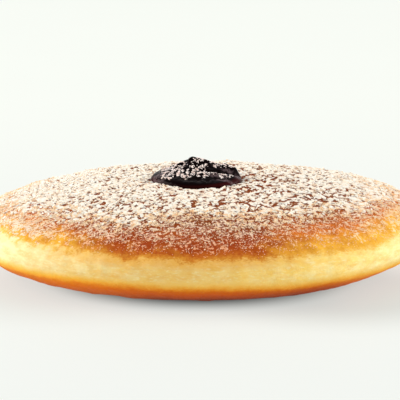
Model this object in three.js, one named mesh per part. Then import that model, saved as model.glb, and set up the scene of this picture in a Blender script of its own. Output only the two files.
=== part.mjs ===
// A jelly-filled doughnut: a broad, low bun fried in yeast dough, with a swirled dollop of dark
// berry jelly sitting in a shallow dimple where the filling went in.
// Millimetres, +Z up. The origin is on the surface the bun rests on, under its middle, and the
// bun's front faces -Y.
import * as THREE from "three";
import { mergeVertices } from "three/addons/utils/BufferGeometryUtils.js";

// ---- Bun -------------------------------------------------------------------------------------
const BUN_RADIUS = 50; // at the waist, where the bun is widest
const DOME_HEIGHT = 19; // top of the dome over the resting face
const WAIST_HEIGHT = 9.4; // height of the widest ring
const REST_RADIUS = 23; // flat spot that the bun stands on
const DOME_ROUNDING = { across: 2.2, up: 2.25 }; // superellipse exponents, dome
const UNDER_ROUNDING = { across: 2.5, up: 2.4 }; // superellipse exponents, underside

// The soft crease under the browned cap, where the bun floated in the fat. It fades away from the
// rim with a power of the distance from the axis.
const CREASE = { height: 12.4, depth: 0.22, spread: 1.2, fading: 8 };

// The outline isn't a true circle: waves round the rim, as a share of the radius.
const RIM_WAVES = [
  { count: 2, share: 0.006, turn: 0.4 },
  { count: 3, share: 0.005, turn: 2.1 },
  { count: 5, share: 0.0035, turn: 4.4 },
  { count: 8, share: 0.002, turn: 1.2 },
];

// Broad swells and sinks of the dome, in the bun's own plan. They fade out towards the waist, over
// the lowest part of the dome's height.
const SWELLS_FADE_OVER = 0.5;
const DOME_SWELLS = [
  { at: [44, 8], height: 0.7, spread: 20 },
  { at: [-36, 10], height: -0.85, spread: 17 },
  { at: [-14, -24], height: 0.4, spread: 12 },
  { at: [17, -30], height: -0.35, spread: 11 },
  { at: [-9, 40], height: -0.85, spread: 12 },
  { at: [16, 36], height: -0.45, spread: 12 },
  { at: [-30, 30], height: -0.65, spread: 11 },
  { at: [-45, 12], height: -0.7, spread: 8 },
];

// The underside is lifted a little at the right of the front. The lift is whole half way up to the
// waist and fades away to the resting face and to the waist.
const UNDER_SWELLS = [{ at: [38, -26], height: 0.9, spread: 15 }];

const BUN_SEGMENTS = 104; // round the rim
const UNDER_STEPS = 11; // rings from the resting face to the waist
const DOME_STEPS = 25; // rings from the waist to the top

// ---- Jelly -----------------------------------------------------------------------------------
const JELLY_CENTRE = [-0.8, 0.2]; // in the bun's plan
const JELLY_RADIUS = 9.75; // before the waves of its rim
const DIMPLE = { depth: 0.7, steepness: 4 }; // the hollow in the dome under the jelly
const SEAT_GAP = 0.3; // between the jelly's underside and the dimple
const EDGE_HEIGHT = 0.55; // thickness of the puddle just inside its rounded rim
const EDGE_REACH = 0.14; // how far in the rim's curve reaches, as a share of the radius
const EDGE_ROUNDING = { across: 2, up: 1.8 }; // superellipse exponents of that curve

const JELLY_WAVES = [
  { count: 1, share: 0.02, turn: 0 },
  { count: 2, share: 0.03, turn: 0.1 },
  { count: 3, share: 0.02, turn: 3.0 },
  { count: 5, share: 0.01, turn: 2.6 },
];

// What stands over the puddle, as lobes of extra height: the mound, the peak that the nozzle pulled
// up, and folds that lap over each other to the right. A groove is a lobe of negative height. Each
// lobe's length lies along its own direction, turned in degrees, and a high power blunts its ends.
const JELLY_LOBES = [
  { at: [-0.9, 0.4], turn: 0, length: 7.6, width: 6.4, height: 3.0, power: 2.8 }, // mound
  { at: [-1.2, 0.9], turn: 0, length: 2.4, width: 1.6, height: 1.15, power: 2 }, // peak
  { at: [-1.6, 1.0], turn: 0, length: 0.8, width: 0.8, height: 0.45, power: 2 }, // its knob
  { at: [4.2, 1.7], turn: 0, length: 4.9, width: 1.5, height: 0.95, power: 6 }, // upper fold
  { at: [7.4, 1.5], turn: 0, length: 1.8, width: 1.4, height: 0.6, power: 4 }, // its blunt end
  { at: [5.1, -1.95], turn: 14, length: 4.4, width: 0.9, height: -0.95, power: 4 }, // groove
  { at: [5.0, -4.0], turn: 6, length: 5.6, width: 1.3, height: 0.4, power: 4 }, // lower fold
  { at: [9.0, -0.2], turn: 80, length: 2.4, width: 1.0, height: 0.55, power: 3 }, // right lip
  { at: [-2.9, -0.6], turn: 62, length: 2.3, width: 0.65, height: -0.5, power: 2 }, // left crease
];

const JELLY_SEGMENTS = 72; // round the rim
const JELLY_UNDER_STEPS = 5; // rings under the jelly
const JELLY_RIM_STEPS = 6; // rings round its rim
const JELLY_TOP_STEPS = 17; // rings over its top

// ---- Finishes --------------------------------------------------------------------------------
const CRUST = new THREE.MeshStandardMaterial({ color: 0xd9913f, roughness: 0.72, metalness: 0 });
const BERRY = new THREE.MeshStandardMaterial({ color: 0x2a0a10, roughness: 0.14, metalness: 0 });

/** How far a wavy rim reaches at an angle about its middle, as a share of its radius. */
function rimShare(waves, angle) {
  return waves.reduce((sum, w) => sum + w.share * Math.cos(w.count * angle + w.turn), 1);
}

/** The points of a quarter superellipse from (1, 0) to (0, 1), ends included. */
function quarterRound({ across, up }, steps) {
  return Array.from({ length: steps + 1 }, (_, i) => {
    const angle = (i / steps) * (Math.PI / 2);
    return [Math.cos(angle) ** (2 / across), Math.sin(angle) ** (2 / up)];
  });
}

/** Height of the even dome at a distance from the bun's axis, before swells and dimple. */
function evenDome(distance) {
  const { across, up } = DOME_ROUNDING;
  const share = Math.min(distance / BUN_RADIUS, 1) ** across;
  return WAIST_HEIGHT + (DOME_HEIGHT - WAIST_HEIGHT) * (1 - share) ** (1 / up);
}

/** What some swells add up to at a point of the bun's plan. */
function swelling(swells, x, y) {
  return swells.reduce((sum, { at, height, spread }) => {
    const apart = Math.hypot(x - at[0], y - at[1]) / spread;
    return sum + height * Math.exp(-(apart ** 2));
  }, 0);
}

/** What the swells and the jelly's dimple add to the dome's height at a point of its plan. */
function domeRelief(x, y) {
  const fromJelly = Math.hypot(x - JELLY_CENTRE[0], y - JELLY_CENTRE[1]) / JELLY_RADIUS;
  const dimple = DIMPLE.depth * Math.exp(-(fromJelly ** DIMPLE.steepness));
  return swelling(DOME_SWELLS, x, y) - dimple;
}

/** Height of the finished dome at a point of its plan. */
function domeTop(x, y) {
  const distance = Math.hypot(x, y) / rimShare(RIM_WAVES, Math.atan2(y, x));
  return evenDome(distance) + domeRelief(x, y);
}

/** A lathe's geometry as one closed surface: shared corners joined, empty triangles dropped. */
function closed(geometry) {
  const bare = new THREE.BufferGeometry().setIndex(geometry.index);
  bare.setAttribute("position", geometry.getAttribute("position"));
  const merged = mergeVertices(bare, 1e-3);
  const corners = Array.from(merged.index.array);
  const kept = [];
  for (let i = 0; i < corners.length; i += 3) {
    const [a, b, c] = corners.slice(i, i + 3);
    if (a !== b && b !== c && c !== a) kept.push(a, b, c);
  }
  return merged.setIndex(kept);
}

/** Turns a profile about +Z and moves each of its vertices with a function of its place. */
function turned(profile, segments, moved) {
  const points = profile.map(([across, up]) => new THREE.Vector2(across, up));
  const solid = closed(new THREE.LatheGeometry(points, segments).rotateX(Math.PI / 2));
  const place = solid.getAttribute("position");
  for (let i = 0; i < place.count; i++) {
    place.setXYZ(i, ...moved(place.getX(i), place.getY(i), place.getZ(i)));
  }
  solid.computeVertexNormals();
  return solid;
}

/** The bun: flat resting face, rounded underside, waist, creased cap and uneven dome. */
function bunGeometry() {
  const under = quarterRound(UNDER_ROUNDING, UNDER_STEPS)
    .reverse()
    .map(([across, up]) => [
      REST_RADIUS + (BUN_RADIUS - REST_RADIUS) * across,
      WAIST_HEIGHT * (1 - up),
    ]);
  const dome = quarterRound(DOME_ROUNDING, DOME_STEPS)
    .slice(1)
    .map(([across, up]) => [
      BUN_RADIUS * across,
      WAIST_HEIGHT + (DOME_HEIGHT - WAIST_HEIGHT) * up,
    ]);
  const rest = [[0, 0], [REST_RADIUS / 2, 0]];
  return turned([...rest, ...under, ...dome], BUN_SEGMENTS, (x, y, z) => {
    const crease = CREASE.depth * Math.exp(-(((z - CREASE.height) / CREASE.spread) ** 2));
    const distance = Math.hypot(x, y);
    const nearRim = Math.min(distance / BUN_RADIUS, 1) ** CREASE.fading;
    const share = rimShare(RIM_WAVES, Math.atan2(y, x)) - (crease * nearRim) / BUN_RADIUS;
    const [across, along] = [x * share, y * share];
    if (z < WAIST_HEIGHT) {
      const up = z / WAIST_HEIGHT;
      return [across, along, z + swelling(UNDER_SWELLS, across, along) * 4 * up * (1 - up)];
    }
    const rise = (z - WAIST_HEIGHT) / (DOME_HEIGHT - WAIST_HEIGHT);
    return [across, along, z + domeRelief(across, along) * Math.min(1, rise / SWELLS_FADE_OVER)];
  });
}

/** Thickness of the jelly over a point given from the jelly's own centre. */
function jellyThickness(x, y) {
  return JELLY_LOBES.reduce((sum, { at, turn, length, width, height, power }) => {
    const angle = THREE.MathUtils.degToRad(turn);
    const [dx, dy] = [x - at[0], y - at[1]];
    const along = (dx * Math.cos(angle) + dy * Math.sin(angle)) / length;
    const aside = (dy * Math.cos(angle) - dx * Math.sin(angle)) / width;
    return sum + height * Math.exp(-(Math.abs(along) ** power) - Math.abs(aside) ** 2);
  }, EDGE_HEIGHT);
}

/**
 * The jelly: an underside that follows the dimple, a rounded rim and the swirled top.
 * Its profile is (share of the radius, share of the thickness), and each vertex then takes the
 * real outline, seat and thickness of its place.
 */
function jellyGeometry() {
  const under = Array.from({ length: JELLY_UNDER_STEPS }, (_, i) => [
    (i / JELLY_UNDER_STEPS) * (1 - EDGE_REACH),
    0,
  ]);
  const rim = quarterRound(EDGE_ROUNDING, JELLY_RIM_STEPS).map(([across, up]) => [
    1 - EDGE_REACH + EDGE_REACH * across,
    up,
  ]);
  const top = Array.from({ length: JELLY_TOP_STEPS }, (_, i) => [
    (1 - (i + 1) / JELLY_TOP_STEPS) * (1 - EDGE_REACH),
    1,
  ]);
  return turned([...under, ...rim, ...top], JELLY_SEGMENTS, (x, y, z) => {
    const reach = JELLY_RADIUS * rimShare(JELLY_WAVES, Math.atan2(y, x));
    const [across, along] = [x * reach, y * reach];
    const seat = domeTop(across + JELLY_CENTRE[0], along + JELLY_CENTRE[1]) + SEAT_GAP;
    return [across, along, seat + z * jellyThickness(across, along)];
  });
}

/** A named mesh of one geometry in one finish. */
function piece(name, geometry, finish) {
  const mesh = new THREE.Mesh(geometry, finish);
  mesh.name = name;
  return mesh;
}

const doughnut = new THREE.Group();
doughnut.name = "jelly_doughnut";

const bun = piece("bun", bunGeometry(), CRUST);
doughnut.add(bun);

const jelly = piece("jelly", jellyGeometry(), BERRY);
jelly.position.set(...JELLY_CENTRE, 0);
doughnut.add(jelly);

export default doughnut;
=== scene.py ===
"""Looks of the jelly-filled doughnut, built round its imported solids.

The bun gets a fine, uneven crust that browns with height, the dollop of jelly gets a wet skin, and
icing sugar lies over both as flakes, lumps, specks and dust of real mesh. Forms are worked out in
millimetres, in the part's own frame, and turned into metres as each mesh is made.
"""

import logging
import math
from dataclasses import dataclass
from enum import Enum
from functools import partial
from typing import Any, Callable, Iterable, Sequence

import bpy
import numpy as np
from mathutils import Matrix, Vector


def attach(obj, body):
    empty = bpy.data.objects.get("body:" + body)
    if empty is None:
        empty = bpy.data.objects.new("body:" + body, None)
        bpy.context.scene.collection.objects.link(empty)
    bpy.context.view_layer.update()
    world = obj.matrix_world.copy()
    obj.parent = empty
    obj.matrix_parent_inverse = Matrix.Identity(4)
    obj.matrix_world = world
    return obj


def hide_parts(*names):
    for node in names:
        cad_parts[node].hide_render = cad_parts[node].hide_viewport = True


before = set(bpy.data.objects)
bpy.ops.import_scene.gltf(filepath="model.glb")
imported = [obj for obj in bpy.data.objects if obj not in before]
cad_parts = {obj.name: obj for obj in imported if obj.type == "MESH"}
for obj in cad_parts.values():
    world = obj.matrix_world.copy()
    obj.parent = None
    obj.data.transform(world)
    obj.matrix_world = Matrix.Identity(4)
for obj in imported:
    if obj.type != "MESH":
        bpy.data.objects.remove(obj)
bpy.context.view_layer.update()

MM = 0.001
SEED = 7151
BODY = "root"
FILM = "sugar_film"

# Millimetres to each side that a slope is measured over, and what keeps a length from being 0.
SLOPE_STEP = 0.1
TINY = 1e-12

Colour = tuple[float, float, float, float]
Stops = tuple[tuple[float, Colour], ...]
Span = tuple[float, float]
Triple = tuple[float, float, float]
Points = np.ndarray

log = logging.getLogger("doughnut")


def colour(red: float, green: float, blue: float) -> Colour:
    """Turns display values from 0 to 255 into a linear colour.

    Args:
        red: Red, as a screen shows it.
        green: Green, as a screen shows it.
        blue: Blue, as a screen shows it.

    Returns:
        The linear colour, with full alpha.
    """

    def linear(value: float) -> float:
        """One channel."""
        share = value / 255
        return share / 12.92 if share <= 0.04045 else ((share + 0.055) / 1.055) ** 2.4

    return linear(red), linear(green), linear(blue), 1.0


def faded(value: Points, low: float, high: float) -> Points:
    """Smooth step of each value, from 0 at low to 1 at high; low may be the larger."""
    share = np.clip((value - low) / (high - low), 0.0, 1.0)
    return share * share * (3 - 2 * share)


def bell(value: Points, middle: float, width: float) -> Points:
    """Bell curve of each value, 1 at the middle and about a third one width away."""
    return np.exp(-(((value - middle) / width) ** 2))


# ---- Shader maths ----------------------------------------------------------------------------


class Wire:
    """One output of a shader node. Arithmetic on it adds Math nodes to its recipe."""

    def __init__(self, recipe: "Recipe", socket: bpy.types.NodeSocket) -> None:
        """Wraps an output of a node in the recipe."""
        self.recipe = recipe
        self.socket = socket

    def _maths(self, operation: str, *operands: "Wire | float") -> "Wire":
        """A Math node over the operands, in their order."""
        values = dict(enumerate(operands))
        return self.recipe.node("ShaderNodeMath", {"operation": operation}, values)

    def __add__(self, other: "Wire | float") -> "Wire":
        """Sum."""
        return self._maths("ADD", self, other)

    __radd__ = __add__

    def __mul__(self, other: "Wire | float") -> "Wire":
        """Product."""
        return self._maths("MULTIPLY", self, other)

    __rmul__ = __mul__

    def __sub__(self, other: "Wire | float") -> "Wire":
        """Difference."""
        return self._maths("SUBTRACT", self, other)

    def __rsub__(self, other: float) -> "Wire":
        """Difference, with a number first."""
        return self._maths("SUBTRACT", other, self)

    def __truediv__(self, other: "Wire | float") -> "Wire":
        """Quotient."""
        return self._maths("DIVIDE", self, other)

    def __rtruediv__(self, other: float) -> "Wire":
        """Quotient, with a number first."""
        return self._maths("DIVIDE", other, self)

    def __pow__(self, power: float) -> "Wire":
        """Power."""
        return self._maths("POWER", self, power)

    def __rpow__(self, base: float) -> "Wire":
        """Power of a number."""
        return self._maths("POWER", base, self)

    def __neg__(self) -> "Wire":
        """The value with its sign turned."""
        return 0 - self

    def lowest(self, other: "Wire | float") -> "Wire":
        """The smaller of two values."""
        return self._maths("MINIMUM", self, other)

    def highest(self, other: "Wire | float") -> "Wire":
        """The larger of two values."""
        return self._maths("MAXIMUM", self, other)

    def fade(self, low: float, high: float) -> "Wire":
        """Smooth step from 0 at the first value to 1 at the second."""
        values = {"Value": self, "From Min": low, "From Max": high}
        return self.recipe.node("ShaderNodeMapRange", {"interpolation_type": "SMOOTHSTEP"}, values)

    def between(self, rise: Span, fall: Span) -> "Wire":
        """1 between two fades: up over the first span, down again over the second."""
        return self.fade(*rise) * (1 - self.fade(*fall))


@dataclass(frozen=True)
class Fleck:
    """One kind of speckle: its width in millimetres, its stretch and its finer layers.

    Factors of the stretch under 1 draw it out along X, Y or Z. Where it has ends, the noise is
    faded from 0 at the first to 1 at the second.
    """

    size: float
    stretch: Triple = (1.0, 1.0, 1.0)
    detail: float = 2.0
    ends: Span | None = None


class Recipe:
    """The node tree of one finish, with the surface's place in millimetres ready to use."""

    MIX_COLOUR = {"factor": 0, "first": 6, "second": 7, "output": 2}

    def __init__(self, name: str) -> None:
        """Starts an empty material.

        Args:
            name: Name of the material.
        """
        self.material = bpy.data.materials.new(name)
        self.material.use_nodes = True
        self.tree = self.material.node_tree
        self.tree.nodes.clear()
        place = self.node("ShaderNodeTexCoord", output="Object")
        self.place = self.node(
            "ShaderNodeVectorMath", {"operation": "SCALE"}, {"Vector": place, "Scale": 1 / MM}
        )
        self.across = self.node("ShaderNodeSeparateXYZ", values={"Vector": self.place})
        self.along = Wire(self, self.across.socket.node.outputs["Y"])
        self.height = Wire(self, self.across.socket.node.outputs["Z"])

    def node(
        self,
        kind: str,
        settings: dict[str, Any] | None = None,
        values: dict[str | int, Any] | None = None,
        output: str | int = 0,
    ) -> Wire:
        """Adds any node.

        Args:
            kind: Blender's type of the node.
            settings: Its own settings, set first; "stops" are the stops of its colour ramp.
            values: Numbers, colours or wires for its inputs, by name or place.
            output: The output to hand back, by name or place.

        Returns:
            The wire of that output.
        """
        made = self.tree.nodes.new(kind)
        for name, setting in (settings or {}).items():
            if name == "stops":
                self._place_stops(made.color_ramp, setting)
            else:
                setattr(made, name, setting)
        for name, value in (values or {}).items():
            if isinstance(value, Wire):
                self.tree.links.new(value.socket, made.inputs[name])
            else:
                made.inputs[name].default_value = value
        return Wire(self, made.outputs[output] if made.outputs else made.inputs[0])

    @staticmethod
    def _place_stops(ramp: bpy.types.ColorRamp, stops: Sequence[tuple[float, Colour]]) -> None:
        """Gives a colour ramp its stops.

        Args:
            ramp: The ramp, with the two stops that it is made with.
            stops: Place from 0 to 1 and colour of each stop, in order.
        """
        while len(ramp.elements) < len(stops):
            ramp.elements.new(0.5)
        for element, (place, shade) in zip(ramp.elements, stops, strict=True):
            element.position = place
            element.color = shade

    def speckle(self, fleck: Fleck) -> Wire:
        """Adds one kind of speckle.

        Args:
            fleck: The kind.

        Returns:
            Its value, from about 0 to 1.
        """
        place = self.node(
            "ShaderNodeVectorMath", {"operation": "MULTIPLY"}, {0: self.place, 1: fleck.stretch}
        )
        noise = self.node(
            "ShaderNodeTexNoise",
            values={"Vector": place, "Scale": 1 / fleck.size, "Detail": fleck.detail},
        )
        return noise.fade(*fleck.ends) if fleck.ends else noise

    def apart(self, centre: Span) -> Wire:
        """Distance in the plan from a centre."""
        across, along = self.across - centre[0], self.along - centre[1]
        return (across * across + along * along) ** 0.5

    def blend(self, share: Wire | float, first: Wire | Colour, second: Wire | Colour) -> Wire:
        """Mixes two colours.

        Args:
            share: How much of the second colour.
            first: The first colour.
            second: The second colour.

        Returns:
            The mixed colour.
        """
        at = self.MIX_COLOUR
        return self.node(
            "ShaderNodeMix",
            {"data_type": "RGBA"},
            {at["factor"]: share, at["first"]: first, at["second"]: second},
            at["output"],
        )

    def banded(self, value: Wire, stops: Stops) -> Wire:
        """Makes a colour that changes with a value.

        Args:
            value: What the colour follows.
            stops: Value and colour of each stop, in order.

        Returns:
            The colour.
        """
        low, high = stops[0][0], stops[-1][0]
        share = (value - low) * (1 / (high - low))
        placed = [((at - low) / (high - low), shade) for at, shade in stops]
        return self.node("ShaderNodeValToRGB", {"stops": placed}, {"Fac": share})

    def finish(self, surface: dict[str, Any], relief: Wire, depth: float) -> bpy.types.Material:
        """Closes the recipe with its surface.

        Args:
            surface: Values of the surface shader's sockets, by name.
            relief: Height of the fine relief, from about 0 to 1.
            depth: Depth of that relief, in millimetres.

        Returns:
            The finished material.
        """
        bumped = self.node(
            "ShaderNodeBump",
            values={"Strength": 1.0, "Distance": depth * MM, "Height": relief},
        )
        shader = self.node("ShaderNodeBsdfPrincipled", values={**surface, "Normal": bumped})
        self.node("ShaderNodeOutputMaterial", values={"Surface": shader})
        return self.material


# ---- Forms -----------------------------------------------------------------------------------


@dataclass(frozen=True)
class Wave:
    """One wave round a rim: its count of humps, its reach as a share of the radius, its turn."""

    count: int
    share: float
    turn: float


@dataclass(frozen=True)
class Rounding:
    """Exponents of a superellipse, across and up."""

    across: float
    up: float


@dataclass(frozen=True)
class Swell:
    """A broad swell or sink, in the bun's plan."""

    at: Span
    height: float
    spread: float


@dataclass(frozen=True)
class Lobe:
    """Extra thickness of the jelly, long along its own direction; a high power blunts its ends."""

    at: Span
    turn: float
    length: float
    width: float
    height: float
    power: float


@dataclass(frozen=True)
class Plan:
    """Points as seen from above, in millimetres from a middle."""

    across: Points
    along: Points

    @property
    def out(self) -> Points:
        """Distance from the middle."""
        return np.hypot(self.across, self.along)

    @property
    def turn(self) -> Points:
        """Angle about the middle, in radians from the right."""
        return np.arctan2(self.along, self.across)

    @property
    def flat(self) -> Points:
        """The points as points of space, at no height."""
        return np.column_stack([self.across, self.along, np.zeros_like(self.across)])

    def moved(self, across: float, along: float) -> "Plan":
        """The points moved by a step."""
        return Plan(self.across + across, self.along + along)

    def about(self, centre: Span) -> "Plan":
        """The points as measured from a centre."""
        return self.moved(-centre[0], -centre[1])


CENTRE = Plan(np.zeros(1), np.zeros(1))

# What sugar is strewn by: how densely it lies over the plan, and the surface that it lies on.
Density = Callable[[Plan], Points]
Surface = Callable[[Plan], tuple[Points, Points]]


def rim_share(waves: Iterable[Wave], angle: Points) -> Points:
    """How far a wavy rim reaches at an angle about its middle, as a share of its radius."""
    return 1 + sum(wave.share * np.cos(wave.count * angle + wave.turn) for wave in waves)


def quarter_round(rounding: Rounding, steps: int) -> Points:
    """Works out a quarter superellipse.

    Args:
        rounding: Its exponents.
        steps: How many steps it has.

    Returns:
        Its points from (1, 0) to (0, 1), ends included.
    """
    angle = np.linspace(0, math.pi / 2, steps + 1)
    across = np.clip(np.cos(angle), 0, 1) ** (2 / rounding.across)
    return np.column_stack([across, np.sin(angle) ** (2 / rounding.up)])


def turns(around: int) -> Points:
    """Even angles round a ring, as one row."""
    return np.linspace(0, 2 * math.pi, around, endpoint=False)[None, :]


class Unevenness:
    """A smooth random field of space, made of seeded waves that cross at all angles."""

    # How many waves there are, and how long, as a share of a hump and the hollow after it.
    WAVES = 56
    LENGTHS = (0.7, 1.6)

    def __init__(
        self,
        seed: int,
        size: float,
        stretch: Triple = (1.0, 1.0, 1.0),
        flat: bool = False,
    ) -> None:
        """Draws the waves.

        Args:
            seed: Seed of this field's own random draws.
            size: Width of a typical hump, in millimetres.
            stretch: Factors on the place along X, Y and Z; under 1 draws humps out.
            flat: Whether it changes only over the plan, for an even width of its humps there.
        """
        draws = np.random.default_rng(SEED + seed)
        ways = draws.normal(size=(self.WAVES, 3))
        if flat:
            ways[:, 2] = 0.0
        ways /= np.linalg.norm(ways, axis=1, keepdims=True)
        lengths = 2 * size * draws.uniform(*self.LENGTHS, self.WAVES)
        self.ways = ways * (2 * math.pi / lengths)[:, None] * np.asarray(stretch)
        self.turns = draws.uniform(0, 2 * math.pi, self.WAVES)

    def at(self, points: Points) -> Points:
        """Works out the field at some points.

        Args:
            points: The points, one a row.

        Returns:
            Its values, spread about 0 by about 1.
        """
        total = np.zeros(len(points))
        for way, turn in zip(self.ways, self.turns, strict=True):
            total += np.cos(points @ way + turn)
        return total * math.sqrt(2 / self.WAVES)


@dataclass
class Net:
    """A closed net of rings round an axis: points ring by ring, with a point at each end."""

    rings: Points
    start: Points
    end: Points

    def points(self) -> Points:
        """All points, the two ends last."""
        return np.vstack([self.rings.reshape(-1, 3), self.start, self.end])

    def normals(self) -> Points:
        """Works out the outward directions.

        Returns:
            A direction for each point, in the order of points().
        """
        across = np.roll(self.rings, -1, axis=1) - np.roll(self.rings, 1, axis=1)
        up = np.gradient(self.rings, axis=0)
        ways = np.cross(across, up).reshape(-1, 3)
        ways /= np.linalg.norm(ways, axis=1, keepdims=True) + TINY
        return np.vstack([ways, [[0, 0, -1], [0, 0, 1]]])

    def faces(self) -> tuple[Points, Points]:
        """Lists the faces.

        Returns:
            The four-cornered faces between rings and the three-cornered ones at the ends.
        """
        rings, around = self.rings.shape[:2]
        here = np.arange(around)
        after = (here + 1) % around
        rows = np.arange(rings - 1)[:, None] * around
        quads = np.stack(
            [rows + here, rows + after, rows + around + after, rows + around + here], axis=-1
        ).reshape(-1, 4)
        start, end = rings * around, rings * around + 1
        last = (rings - 1) * around
        fans = np.vstack(
            [
                np.column_stack([after, here, np.full(around, start)]),
                np.column_stack([last + here, last + after, np.full(around, end)]),
            ]
        )
        return quads, fans


def draped(height: Callable[[Plan], Points], plan: Plan) -> tuple[Points, Points]:
    """Lays plan points on a surface.

    Args:
        height: Height of the surface over points of the plan.
        plan: The points.

    Returns:
        Their places and the surface's outward directions there.
    """
    step = SLOPE_STEP
    slope_x = (height(plan.moved(step, 0)) - height(plan.moved(-step, 0))) / (2 * step)
    slope_y = (height(plan.moved(0, step)) - height(plan.moved(0, -step))) / (2 * step)
    ways = np.column_stack([-slope_x, -slope_y, np.ones_like(slope_x)])
    ways /= np.linalg.norm(ways, axis=1, keepdims=True)
    return np.column_stack([plan.across, plan.along, height(plan)]), ways


def mesh_piece(
    name: str, points: Points, faces: Sequence[Points], smooth: bool
) -> bpy.types.Object:
    """Makes a mesh object from millimetre points.

    Args:
        name: Name of the piece.
        points: Its points, in millimetres.
        faces: Arrays of faces, each with its own count of corners.
        smooth: Whether its faces are shaded as one smooth surface.

    Returns:
        The object, linked into the scene.
    """
    mesh = bpy.data.meshes.new(name)
    corners = np.concatenate([block.ravel() for block in faces]).astype(np.int32)
    counts = np.concatenate([np.full(len(block), block.shape[1]) for block in faces])
    starts = np.concatenate([[0], np.cumsum(counts)[:-1]])
    mesh.vertices.add(len(points))
    mesh.vertices.foreach_set("co", (points * MM).astype(np.float32).ravel())
    mesh.loops.add(len(corners))
    mesh.loops.foreach_set("vertex_index", corners)
    mesh.polygons.add(len(counts))
    mesh.polygons.foreach_set("loop_start", starts.astype(np.int32))
    mesh.polygons.foreach_set("use_smooth", np.full(len(counts), smooth))
    mesh.update(calc_edges=True)
    mesh.validate()
    piece = bpy.data.objects.new(name, mesh)
    bpy.context.scene.collection.objects.link(piece)
    return piece


@dataclass
class BunForm:
    """The bun's own form: resting spot, rounded underside, waist, creased cap, uneven dome."""

    radius: float = 50.0
    dome_height: float = 19.0
    waist_height: float = 9.4
    rest_radius: float = 23.0
    dome_rounding: Rounding = Rounding(2.2, 2.25)
    under_rounding: Rounding = Rounding(2.5, 2.4)
    crease_height: float = 12.4
    crease_depth: float = 0.22
    crease_spread: float = 1.2
    crease_fading: float = 8.0
    swells_fade_over: float = 0.5
    dimple_depth: float = 0.7
    dimple_steepness: float = 4.0
    jelly_centre: Span = (-0.8, 0.2)
    jelly_radius: float = 9.75
    waves: tuple[Wave, ...] = (
        Wave(2, 0.006, 0.4),
        Wave(3, 0.005, 2.1),
        Wave(5, 0.0035, 4.4),
        Wave(8, 0.002, 1.2),
    )
    swells: tuple[Swell, ...] = (
        Swell((44, 8), 0.7, 20),
        Swell((-36, 10), -0.85, 17),
        Swell((-14, -24), 0.4, 12),
        Swell((17, -30), -0.35, 11),
        Swell((-9, 40), -0.85, 12),
        Swell((16, 36), -0.45, 12),
        Swell((-30, 30), -0.65, 11),
        Swell((-45, 12), -0.7, 8),
    )
    under_swells: tuple[Swell, ...] = (Swell((38, -26), 0.9, 15),)

    @property
    def cap_height(self) -> float:
        """Height of the dome over the waist."""
        return self.dome_height - self.waist_height

    @staticmethod
    def swelling(swells: Iterable[Swell], plan: Plan) -> Points:
        """Adds up some swells.

        Args:
            swells: The swells.
            plan: Points of the plan.

        Returns:
            Their sum at those points.
        """
        total = np.zeros_like(plan.across)
        for swell in swells:
            total += swell.height * bell(plan.about(swell.at).out, 0.0, swell.spread)
        return total

    def relief(self, plan: Plan) -> Points:
        """Adds up the swells of the dome and the dimple under the jelly.

        Args:
            plan: Points of the plan.

        Returns:
            What they add to the dome's height there.
        """
        apart = plan.about(self.jelly_centre).out / self.jelly_radius
        dimple = self.dimple_depth * np.exp(-(apart**self.dimple_steepness))
        return self.swelling(self.swells, plan) - dimple

    def plain_distance(self, plan: Plan) -> Points:
        """Distance from the axis, with the waves of the rim taken out."""
        return plan.out / rim_share(self.waves, plan.turn)

    def top(self, plan: Plan) -> Points:
        """Works out the dome.

        Args:
            plan: Points of the plan.

        Returns:
            The height of the dome there.
        """
        share = np.clip(self.plain_distance(plan) / self.radius, 0, 1)
        share = share**self.dome_rounding.across
        rise = (1 - share) ** (1 / self.dome_rounding.up)
        fade = np.minimum(1, rise / self.swells_fade_over)
        return self.waist_height + self.cap_height * rise + self.relief(plan) * fade

    def net(self, around: int, rest: int, under: int, dome: int) -> Net:
        """Works out the bun's surface, even and without its fine relief.

        Args:
            around: Points round each ring.
            rest: Rings over the resting spot.
            under: Rings from there to the waist.
            dome: Rings from the waist to the top.

        Returns:
            The net.
        """
        flat = np.column_stack([self.rest_radius * np.arange(1, rest) / rest, np.zeros(rest - 1)])
        lower = quarter_round(self.under_rounding, under)[::-1]
        lower = np.column_stack(
            [
                self.rest_radius + (self.radius - self.rest_radius) * lower[:, 0],
                self.waist_height * (1 - lower[:, 1]),
            ]
        )
        upper = quarter_round(self.dome_rounding, dome)[1:-1]
        upper = np.column_stack(
            [self.radius * upper[:, 0], self.waist_height + self.cap_height * upper[:, 1]]
        )
        profile = np.vstack([flat, lower, upper])
        angle = turns(around)
        reach, height = profile[:, :1], profile[:, 1:]
        crease = self.crease_depth * bell(height, self.crease_height, self.crease_spread)
        crease = crease * (reach / self.radius) ** self.crease_fading
        reach = reach * (rim_share(self.waves, angle) - crease / self.radius)
        plan = Plan(reach * np.cos(angle), reach * np.sin(angle))
        above = (height - self.waist_height) / self.cap_height
        fade = np.clip(above / self.swells_fade_over, 0, 1)
        # The underside lifts most halfway up to the waist, and not at all at its two ends.
        up = np.clip(height / self.waist_height, 0, 1)
        arch = 4 * up * (1 - up)
        lift = self.swelling(self.under_swells, plan) * arch
        heights = height + self.relief(plan) * fade + lift
        rings = np.stack([plan.across, plan.along, heights], axis=-1)
        return Net(rings, np.zeros((1, 3)), np.array([[0.0, 0.0, self.top(CENTRE)[0]]]))


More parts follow.
